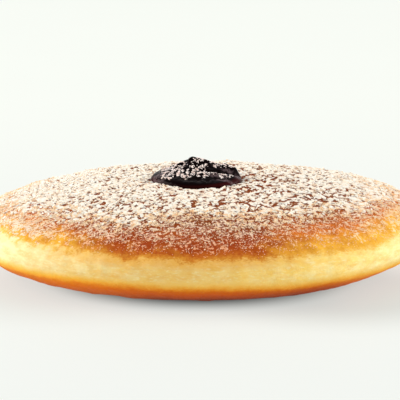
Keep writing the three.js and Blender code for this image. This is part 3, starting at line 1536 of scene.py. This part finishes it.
@dataclass
class Cover:
    """Where the sugar lies on the bun."""

    bun: BunForm
    jelly: JellyForm
    reach: float = 45.5
    edge_drift: float = 1.1
    drift_size: float = 6.0
    bare_size: float = 1.0
    gap_size: float = 2.4
    clot_size: float = 1.2
    notches: tuple[Notch, ...] = (
        Notch(0, 15, 7.1),
        Notch(27, 50, 9.2),
        Notch(-17, 8, 3.4),
        Notch(-44, 20, 4.6),
        Notch(35, 15, 1.6),
        Notch(-58, 12, 1.2),
    )
    heaps: tuple[Patch, ...] = (
        Patch(0.8, (Fade(Measure.ACROSS, -12, -29), Fade(Measure.ALONG, -16, -8, 0.35))),
        Patch(0.45, (Fade(Measure.ACROSS, 21, 34), Fade(Measure.ALONG, -18, -6))),
        Patch(0.4, (Bell(Measure.OUT, 17.5, 3.5), Fade(Measure.ACROSS, 12, 4))),
    )

    # Worn away at the right of the jelly, and along two arcs: in front and at the front right.
    worn: Patch = Patch(0.48, (Fade(Measure.ACROSS, -3, 8), Fade(Measure.OUT, 22, 14)))
    bare_ahead: Patch = Patch(
        0.55,
        (
            Bell(Measure.OUT, 24.5, 2.8),
            Bell(Measure.ACROSS, 3, 8),
            Fade(Measure.ALONG, 0, -0.01),
        ),
    )
    bare_beside: Patch = Patch(
        0.38,
        (
            Bell(Measure.OUT, 30.5, 4),
            Fade(Measure.ACROSS, 9, 15),
            Fade(Measure.ALONG, -4, -12),
        ),
    )

    # How flakes, lumps and fine grains follow all this.
    flake_edge: Fade = Fade(Measure.BEYOND, 2.5, -4.5)
    gap_share: float = 0.5
    heap_share: float = 1.1
    bare_ends: Span = (0.2, 1.2)
    bare_share: float = 0.85
    lump_clots: Fade = Fade(Measure.CLOTTING, -0.6, 0.6)
    lump_least: float = 0.1
    lump_clotted: float = 0.5
    lump_heaped: float = 0.4
    fine_least: float = 0.1
    fine_from: Fade = Fade(Measure.BEYOND, -9, -3)
    specks: FineCover = FineCover(
        thinning=Fade(Measure.BEYOND, 6.5, -2, 0.07),
        clots=Fade(Measure.CLOTTING, -0.5, 0.9, 0.08),
        lip=Fade(Measure.PLAIN, 47.5, 42.5),
    )
    dust: FineCover = FineCover(
        thinning=Fade(Measure.BEYOND, 11, 1, 0.45),
        clots=Fade(Measure.CLOTTING, -0.8, 0.8, 0.2),
        lip=Fade(Measure.PLAIN, 49.3, 46),
    )

    def __post_init__(self) -> None:
        """Draws the fields that the sugar gathers by."""
        self.drift = Unevenness(11, self.drift_size, flat=True)
        self.bare = Unevenness(12, self.bare_size, flat=True)
        self.clotting = Unevenness(13, self.clot_size, flat=True)
        self.gaps = Unevenness(15, self.gap_size, flat=True)

    def ground(self, plan: Plan) -> Ground:
        """Measures points of the plan.

        Args:
            plan: The points.

        Returns:
            Every measure that the shares go by.
        """
        plain = self.bun.plain_distance(plan)
        bearing = np.degrees(np.arctan2(plan.across, -plan.along))
        edge = self.reach - sum(
            notch.depth * bell(bearing, notch.bearing, notch.width) for notch in self.notches
        )
        return {
            Measure.ACROSS: plan.across,
            Measure.ALONG: plan.along,
            Measure.OUT: plan.out,
            Measure.PLAIN: plain,
            Measure.BEYOND: plain - edge + self.edge_drift * self.drift.at(plan.flat),
            Measure.CLOTTING: self.clotting.at(plan.flat),
        }

    def heaped(self, ground: Ground) -> Points:
        """Works out how thick the sugar lies: most at the left, least to the jelly's right.

        Args:
            ground: Measures of the points.

        Returns:
            Its thickness there, as a share; where it is worn away, less than none.
        """
        heaps = np.maximum.reduce([heap.at(ground) for heap in self.heaps])
        bare = self.bare_ahead.at(ground) + self.bare_beside.at(ground)
        return heaps - np.maximum(self.worn.at(ground), bare)

    def flakes(self, plan: Plan) -> Points:
        """Works out where flakes lie.

        Args:
            plan: Points of the plan.

        Returns:
            Their density there, from 0 to 1.
        """
        ground = self.ground(plan)
        bare = self.bare.at(plan.flat) + self.gap_share * self.gaps.at(plan.flat)
        bare = faded(bare - self.heap_share * self.heaped(ground), *self.bare_ends)
        cover = self.flake_edge.at(ground) * (1 - self.bare_share * bare)
        return cover * self._off_jelly(plan)

    def lumps(self, plan: Plan) -> Points:
        """Works out where lumps lie: among the flakes, gathered in clots.

        Args:
            plan: Points of the plan.

        Returns:
            Their density there, from 0 to 1.
        """
        ground = self.ground(plan)
        clots = self.lump_clotted * self.lump_clots.at(ground)
        share = self.lump_least + clots + self.lump_heaped * self.heaped(ground)
        return self.flakes(plan) * share

    def fine(self, kind: FineCover, plan: Plan) -> Points:
        """Works out where fine sugar lies: most in a ring below the flakes.

        Args:
            kind: Where its kind lies.
            plan: Points of the plan.

        Returns:
            Its density there, from 0 to 1.
        """
        ground = self.ground(plan)
        ring = self.fine_from.at(ground) * kind.thinning.at(ground)
        ring = self.fine_least + (1 - self.fine_least) * ring
        return ring * kind.clots.at(ground) * kind.lip.at(ground) * self._off_jelly(plan)

    def _off_jelly(self, plan: Plan) -> Points:
        """1 where the plan is clear of the jelly, 0 under it."""
        share = self.jelly.edge_share(plan.about(self.bun.jelly_centre))
        return (share > 1.0).astype(float)


@dataclass
class JellyCover:
    """Where the sugar lies on the jelly, from the dollop's own centre.

    It ends at a scalloped hem in front, leaves the knob and the groove between the folds bare,
    and stops short of both ends.
    """

    form: JellyForm
    clot_size: float = 0.6
    clot_ends: Span = (-0.4, 0.5)
    clot_least: float = 0.1
    hem: float = -6.2
    scallop_depth: float = 0.7
    scallop_width: float = 4.0
    scallop_at: float = -6.3
    hem_steps_up: Span = (2.5, 3.5)
    hem_ends: Span = (-0.3, 0.7)
    knob: Span = (-1.5, -0.1)
    knob_size: Span = (0.9, 1.5)
    groove_from: Span = (1.6, 2.6)
    crest_at: Span = (5.1, -3.1)
    crest_slope: float = 0.25
    fold_at: Span = (3.5, -0.7)
    fold_slope: float = 0.35
    groove_edge: float = 0.5
    left_end: Span = (-8.2, -7.2)
    right_end: Span = (7.8, 8.4)
    rim: float = 0.93

    def __post_init__(self) -> None:
        """Draws the field that the sugar clots by."""
        self.clotting = Unevenness(14, self.clot_size, flat=True)

    def density(self, plan: Plan) -> Points:
        """Works out where sugar lies.

        Args:
            plan: Points of the plan.

        Returns:
            Its density there, from 0 to 1.
        """
        across, along = plan.across, plan.along
        clots = faded(self.clotting.at(plan.flat), *self.clot_ends)
        clots = self.clot_least + (1 - self.clot_least) * clots
        scallop = np.cos(2 * math.pi / self.scallop_width * (across - self.scallop_at))
        hem = self.hem - self.scallop_depth * scallop + faded(across, *self.hem_steps_up)
        behind = faded(along, hem + self.hem_ends[0], hem + self.hem_ends[1])
        knob = bell(across, self.knob[0], self.knob_size[0])
        knob = knob * bell(along, self.knob[1], self.knob_size[1])
        ends = faded(across, *self.left_end) * (1 - faded(across, *self.right_end))
        cover = clots * behind * (1 - knob) * (1 - self._groove(plan)) * ends
        return cover * (self.form.edge_share(plan) < self.rim)

    def _groove(self, plan: Plan) -> Points:
        """Works out where the bare groove is.

        Args:
            plan: Points of the plan.

        Returns:
            1 in the groove to 0 outside it.
        """
        across, along = plan.across, plan.along
        crest = self.crest_at[1] + self.crest_slope * (across - self.crest_at[0])
        fold = self.fold_at[1] + self.fold_slope * (across - self.fold_at[0])
        within = faded(along, crest, crest + self.groove_edge)
        within = within * (1 - faded(along, fold, fold + self.groove_edge))
        return faded(across, *self.groove_from) * within


@dataclass
class Film:
    """The finest sugar, which the crust's finish shows as dots: how much lies at each point."""

    cover: Cover
    least: float = 0.14
    heap_height: float = 0.36
    heap_share: Fade = Fade(Measure.BEYOND, -4, -8, 0.6)
    ring: Patch = Patch(0.22, (Fade(Measure.BEYOND, -9, -1), Fade(Measure.ACROSS, 20, 8, 0.3)))
    thinned: Patch = Patch(0.08, (Fade(Measure.BEYOND, 2, 12),))
    leftmost: Fade = Fade(Measure.ACROSS, -22, -34)
    rightmost: Fade = Fade(Measure.ACROSS, 27, 34)
    left_lip: Patch = Patch(0.12, (Fade(Measure.PLAIN, 43, 45),), least=0.53)
    left_lip_from: Fade = Fade(Measure.BEYOND, -2, 2)
    right_lip: Patch = Patch(0.18, (Fade(Measure.ACROSS, 37, 43),), least=0.36)
    edge: Span = (45.0, 48.5)
    edge_further_left: float = 0.8
    edge_further_right: float = 1.0
    foot: Span = (10.5, 12.5)

    def mark(self, crust: bpy.types.Object) -> None:
        """Keeps the film's share at each point of the crust, for its finish to read.

        Args:
            crust: The bun's piece.
        """
        places = np.empty(len(crust.data.vertices) * 3, np.float32)
        crust.data.vertices.foreach_get("co", places)
        places = places.reshape(-1, 3) / MM
        share = self.share(Plan(places[:, 0], places[:, 1])) * faded(places[:, 2], *self.foot)
        layer = crust.data.attributes.new(FILM, "FLOAT", "POINT")
        layer.data.foreach_set("value", share.astype(np.float32))

    def share(self, plan: Plan) -> Points:
        """Works out how much of the film lies over the plan.

        Args:
            plan: Points of the plan.

        Returns:
            Its share there, from 0 to 1.
        """
        ground = self.cover.ground(plan)
        heaped = self.cover.heaped(ground) * self.heap_share.at(ground)
        share = self.least + self.heap_height * heaped + self.ring.at(ground)
        share = share - self.thinned.at(ground) * (1 - heaped)
        left, right = self.leftmost.at(ground), self.rightmost.at(ground)
        lip = self.left_lip.at(ground) * left * self.left_lip_from.at(ground)
        share = np.maximum(np.maximum(share, lip), self.right_lip.at(ground) * right)
        further = self.edge_further_left * left + self.edge_further_right * right
        return share * (1 - faded(ground[Measure.PLAIN] - further, *self.edge))


# ---- Sugar -----------------------------------------------------------------------------------


def eight_sided() -> tuple[Points, Points]:
    """Works out a solid of eight faces: a ring of four points, one point above, one below.

    Returns:
        Its points, on a unit ball, and its three-cornered faces.
    """
    around = 4
    top, bottom = around, around + 1
    ring = [(1, 0, 0), (0, 1, 0), (-1, 0, 0), (0, -1, 0)]
    sides = [(i, (i + 1) % around) for i in range(around)]
    faces = [[a, b, top] for a, b in sides] + [[b, a, bottom] for a, b in sides]
    return np.array([*ring, (0, 0, 1), (0, 0, -1)], float), np.array(faces)


def twenty_sided() -> tuple[Points, Points]:
    """Works out a solid of twenty faces: two rings of five points, one point above, one below.

    Returns:
        Its points, on a unit ball, and its three-cornered faces.
    """
    around = 5
    top, bottom = 2 * around, 2 * around + 1
    turn = 2 * math.pi / around
    tall, wide = 1 / math.sqrt(around), 2 / math.sqrt(around)
    ring = [
        (wide * math.cos((i + lag) * turn), wide * math.sin((i + lag) * turn), height)
        for lag, height in ((0, tall), (0.5, -tall))
        for i in range(around)
    ]
    faces = []
    for i in range(around):
        j = (i + 1) % around
        under, after = i + around, j + around
        faces += [[i, j, top], [i, under, j], [j, under, after], [under, bottom, after]]
    return np.array([*ring, (0, 0, 1), (0, 0, -1)], float), np.array(faces)


class Grain(Enum):
    """The kinds of sugar, by the solid that each piece of it is shaped from."""

    LUMP = "twenty sides"
    SPECK = "eight sides"

    def lattice(self) -> tuple[Points, Points]:
        """Points of the solid, on a unit ball, and its faces."""
        return twenty_sided() if self is Grain.LUMP else eight_sided()


@dataclass(frozen=True)
class Sugaring:
    """One scattering of one kind of sugar over a surface, in millimetres.

    Grains lie at random, or on a shaken lattice where they are to lie side by side. A small bias
    over 1 makes more small grains than large ones, and grains are smaller where few lie.
    """

    # How far apart the rows of a lattice of even triangles are, for points 1 apart.
    ROW_STEP = math.sqrt(0.75)

    name: str
    grain: Grain
    count: int
    across: Span
    flatness: Span
    sunk: float
    seed: int
    apart: float = 0.0
    shake: float = 0.24
    roughness: float = 0.2
    longness: Span = (0.75, 1.3)
    tilt: float = 0.2
    small_bias: float = 1.3
    size_where_few: float = 0.6
    lot: int = 60000

    def scatter(self, density: Density, surface: Surface, reach: float) -> bpy.types.Object:
        """Strews the grains.

        Args:
            density: Share of the grains kept at points of the plan, from 0 to 1.
            surface: Places and outward directions of points of the plan.
            reach: Half width of the square of the plan that is strewn.

        Returns:
            The piece that holds them all.
        """
        draws = np.random.default_rng(SEED + self.seed)
        plan = self._chosen(draws, density, reach)
        places, ways = surface(plan)
        few = self.size_where_few
        size = draws.uniform(0, 1, self.count) ** self.small_bias
        size = (self.across[0] + (self.across[1] - self.across[0]) * size) / 2
        size = size * (few + (1 - few) * density(plan))
        flat = draws.uniform(*self.flatness, self.count)
        lattice, faces = self.grain.lattice()
        swollen = 1 + draws.normal(0, self.roughness, (self.count, len(lattice)))
        shape = lattice[None] * swollen[..., None]
        shape = shape + draws.normal(0, self.roughness / 2, shape.shape)
        long = draws.uniform(*self.longness, self.count)
        shape = shape * np.column_stack([size * long, size / long, size * flat])[:, None]
        shape = self._turned(draws, shape, ways)
        centre = places + ways * (size * flat * (1 - 2 * self.sunk))[:, None]
        points = (shape + centre[:, None]).reshape(-1, 3)
        steps = (np.arange(self.count) * len(lattice))[:, None, None]
        return mesh_piece(self.name, points, [(faces + steps).reshape(-1, 3)], smooth=False)

    def _chosen(self, draws: np.random.Generator, density: Density, reach: float) -> Plan:
        """Draws plan points until enough are kept.

        Args:
            draws: The random draws.
            density: Share of the points to keep.
            reach: Half width of the square that they lie in.

        Returns:
            The points, one for each grain.
        """
        kept: list[Points] = []
        found = 0
        while found < self.count:
            spots = self._spots(draws, reach)
            share = density(Plan(spots[:, 0], spots[:, 1]))
            spots = spots[draws.uniform(0, 1, len(spots)) < share]
            kept.append(spots)
            found += len(spots)
        spots = np.vstack(kept)[: self.count]
        return Plan(spots[:, 0], spots[:, 1])

    def _spots(self, draws: np.random.Generator, reach: float) -> Points:
        """Draws one lot of plan points.

        Args:
            draws: The random draws.
            reach: Half width of the square that they lie in.

        Returns:
            The points, in a random order.
        """
        if not self.apart:
            return draws.uniform(-reach, reach, (self.lot, 2))
        rows = np.arange(-reach, reach, self.apart * self.ROW_STEP)
        columns = np.arange(-reach, reach, self.apart)
        along, across = np.meshgrid(rows, columns, indexing="ij")
        across = across + (np.arange(len(rows)) % 2)[:, None] * self.apart / 2
        spots = np.column_stack([across.ravel(), along.ravel()])
        spots = spots + draws.normal(0, self.shake * self.apart, spots.shape)
        return draws.permutation(spots)

    def _turned(self, draws: np.random.Generator, shape: Points, ways: Points) -> Points:
        """Spins each grain about its own height and lays it on its surface, a little tilted.

        Args:
            draws: The random draws.
            shape: Points of each grain, lying flat.
            ways: The surface's outward direction under each grain.

        Returns:
            The points as they are turned.
        """
        ways = ways + draws.normal(0, self.tilt, ways.shape)
        ways = ways / np.linalg.norm(ways, axis=1, keepdims=True)
        spin = draws.uniform(0, 2 * math.pi, len(ways))
        aside = np.column_stack([np.cos(spin), np.sin(spin), np.zeros(len(ways))])
        first = aside - ways * (aside * ways).sum(1, keepdims=True)
        first /= np.linalg.norm(first, axis=1, keepdims=True)
        second = np.cross(ways, first)
        return shape @ np.stack([first, second, ways], axis=1)


@dataclass
class Sugar:
    """All the icing sugar, on the bun and on the jelly."""

    crust: Bun
    jelly: JellyForm
    bun_reach: float = 50.0
    jelly_reach: float = 10.5
    flakes: Sugaring = Sugaring(
        "sugar_flakes", Grain.LUMP, 6800, (0.8, 1.35), (0.16, 0.32), sunk=0.2, seed=21, apart=1.0
    )
    lumps: Sugaring = Sugaring(
        "sugar_lumps", Grain.LUMP, 8600, (0.32, 0.72), (0.32, 0.55), sunk=0.1, seed=22
    )
    specks: Sugaring = Sugaring(
        "sugar_specks", Grain.SPECK, 9500, (0.3, 0.56), (0.6, 0.95), sunk=0.15, seed=23
    )
    dust: Sugaring = Sugaring(
        "sugar_dust", Grain.SPECK, 21000, (0.17, 0.32), (0.6, 0.95), sunk=0.1, seed=25
    )
    on_jelly: Sugaring = Sugaring(
        "jelly_sugar", Grain.LUMP, 1150, (0.26, 0.52), (0.35, 0.65), sunk=0.15, seed=24, apart=0.4
    )
    finish: SugarFinish = SugarFinish()
    fine_finish: SugarFinish = SugarFinish(
        "soaked_sugar", colour(255, 234, 202), colour(252, 204, 151)
    )
    jelly_finish: SugarFinish = SugarFinish(
        "damp_sugar", colour(255, 240, 234), colour(248, 220, 210)
    )

    def __post_init__(self) -> None:
        """Works out where the sugar lies."""
        self.cover = Cover(self.crust.form, self.jelly)
        self.jelly_cover = JellyCover(self.jelly)

    def _bun_surface(self, plan: Plan) -> tuple[Points, Points]:
        """Places and outward directions on the crust."""
        return draped(self.crust.skin, plan)

    def _jelly_surface(self, plan: Plan) -> tuple[Points, Points]:
        """Places and outward directions on the jelly, from the dollop's own centre."""
        places, ways = draped(self.jelly.top, plan)
        return places + np.array([*self.crust.form.jelly_centre, 0.0]), ways

    def build(self) -> list[bpy.types.Object]:
        """Strews all the sugar.

        Returns:
            The pieces, one for each kind and place.
        """
        cover = self.cover
        on_bun = (
            (self.flakes, cover.flakes),
            (self.lumps, cover.lumps),
            (self.specks, partial(cover.fine, cover.specks)),
            (self.dust, partial(cover.fine, cover.dust)),
        )
        pieces = [
            sugaring.scatter(density, self._bun_surface, self.bun_reach)
            for sugaring, density in on_bun
        ]
        density = self.jelly_cover.density
        pieces.append(self.on_jelly.scatter(density, self._jelly_surface, self.jelly_reach))
        return pieces

    def dress(self, crust: bpy.types.Object, pieces: Iterable[bpy.types.Object]) -> None:
        """Gives the sugar its finish, which is warmer where fine grains soak up fat or jelly.

        Args:
            crust: The bun's piece, which shows the finest sugar.
            pieces: The pieces of sugar.
        """
        Film(self.cover).mark(crust)
        dry, fine, jelly_sugar_and_sheen = (
            finish.material() for finish in (self.finish, self.fine_finish, self.jelly_finish)
        )
        own = {self.specks.name: fine, self.dust.name: fine, self.on_jelly.name: jelly_sugar_and_sheen}
        for piece in pieces:
            dress(piece, own.get(piece.name, dry))


# ---- Studio ----------------------------------------------------------------------------------


def aimed(name: str, what: bpy.types.ID, place: Sequence[float], aim: Triple) -> bpy.types.Object:
    """Puts a lamp or a camera in its place and turns it.

    Args:
        name: Name of its object.
        what: The lamp or the camera.
        place: Where it stands, in metres.
        aim: What it looks at, in metres.

    Returns:
        The object, linked into the scene.
    """
    holder = bpy.data.objects.new(name, what)
    holder.location = place
    way = Vector(aim) - holder.location
    holder.rotation_euler = way.to_track_quat("-Z", "Y").to_euler()
    bpy.context.scene.collection.objects.link(holder)
    return holder


@dataclass
class Table:
    """The plain table top that the doughnut stands on."""

    half_width: float = 3000.0
    cells: int = 24
    finish: TableFinish = TableFinish()

    def build(self) -> bpy.types.Object:
        """Builds the table top.

        Returns:
            The table top.
        """
        line = np.linspace(-self.half_width, self.half_width, self.cells + 1)
        along, across = np.meshgrid(line, line, indexing="ij")
        points = Plan(across.ravel(), along.ravel()).flat
        side = self.cells + 1
        rows, columns = np.meshgrid(np.arange(self.cells), np.arange(self.cells), indexing="ij")
        corner = (rows * side + columns).ravel()
        quads = np.column_stack([corner, corner + 1, corner + side + 1, corner + side])
        return mesh_piece("table_top", points, [quads], smooth=False)

    def dress(self, piece: bpy.types.Object) -> None:
        """Gives the table its finish and keeps it out of the object."""
        piece.data.materials.append(self.finish.material())


@dataclass(frozen=True)
class Lamp:
    """One soft lamp, in metres and watts; its size is its width and its height."""

    name: str
    place: Triple
    size: Span
    power: float
    shade: Triple


@dataclass
class Studio:
    """Soft lamps round the doughnut and an even, dim room."""

    room: Colour = (1.0, 1.0, 1.0, 1.0)
    room_strength: float = 0.52
    aim: Triple = (0.0, 0.0, 0.01)
    lamps: tuple[Lamp, ...] = (
        Lamp("left_lamp", (-1.0, 0.1, 0.45), (0.8, 0.8), 12.5, (1.0, 0.98, 0.93)),
        Lamp("right_lamp", (1.2, 0.0, 0.5), (1.6, 0.9), 16.5, (1.0, 0.98, 0.93)),
    )

    def build(self) -> None:
        """Sets up the lamps, the room and how brightness is shown."""
        for lamp in self.lamps:
            light = bpy.data.lights.new(lamp.name, "AREA")
            light.shape = "RECTANGLE"
            light.size, light.size_y = lamp.size
            light.energy = lamp.power
            light.color = lamp.shade
            aimed(lamp.name, light, lamp.place, self.aim)
        world = bpy.data.worlds.new("room")
        world.use_nodes = True
        backdrop = world.node_tree.nodes["Background"]
        backdrop.inputs["Color"].default_value = self.room
        backdrop.inputs["Strength"].default_value = self.room_strength
        scene = bpy.context.scene
        scene.world = world
        scene.view_settings.view_transform = "Standard"
        scene.view_settings.look = "None"


@dataclass
class Viewpoint:
    """The camera: low in front of the doughnut, looking a little down."""

    distance: float = 0.5
    elevation: float = math.radians(13.0)
    aim: Triple = (0.0, 0.0, 0.0143)
    lens: float = 203.3
    sensor: float = 36.0
    nearest: float = 0.01

    def build(self) -> None:
        """Sets up the camera."""
        camera = bpy.data.cameras.new("viewpoint")
        camera.lens = self.lens
        camera.sensor_width = self.sensor
        camera.clip_start = self.nearest
        back, up = math.cos(self.elevation), math.sin(self.elevation)
        place = (0.0, -self.distance * back, self.distance * up)
        bpy.context.scene.camera = aimed("viewpoint", camera, place, self.aim)


def main() -> None:
    """Builds and dresses every piece, then the table, the light and the camera."""
    logging.basicConfig(level=logging.INFO, format="%(name)s: %(message)s")
    Viewpoint().build()
    form = BunForm()
    jelly_form = JellyForm(form)

    bun = Bun(form)
    crust = bun.build()
    bun.dress(crust)

    dollop = Dollop(jelly_form)
    jelly = dollop.build()
    dollop.dress(jelly)

    sugar = Sugar(bun, jelly_form)
    grains = sugar.build()
    sugar.dress(crust, grains)

    table = Table()
    top = table.build()
    table.dress(top)
    Studio().build()

    for piece in (crust, jelly, *grains, top):
        log.info("%s: %d faces", piece.name, len(piece.data.polygons))


if __name__ == "__main__":
    main()
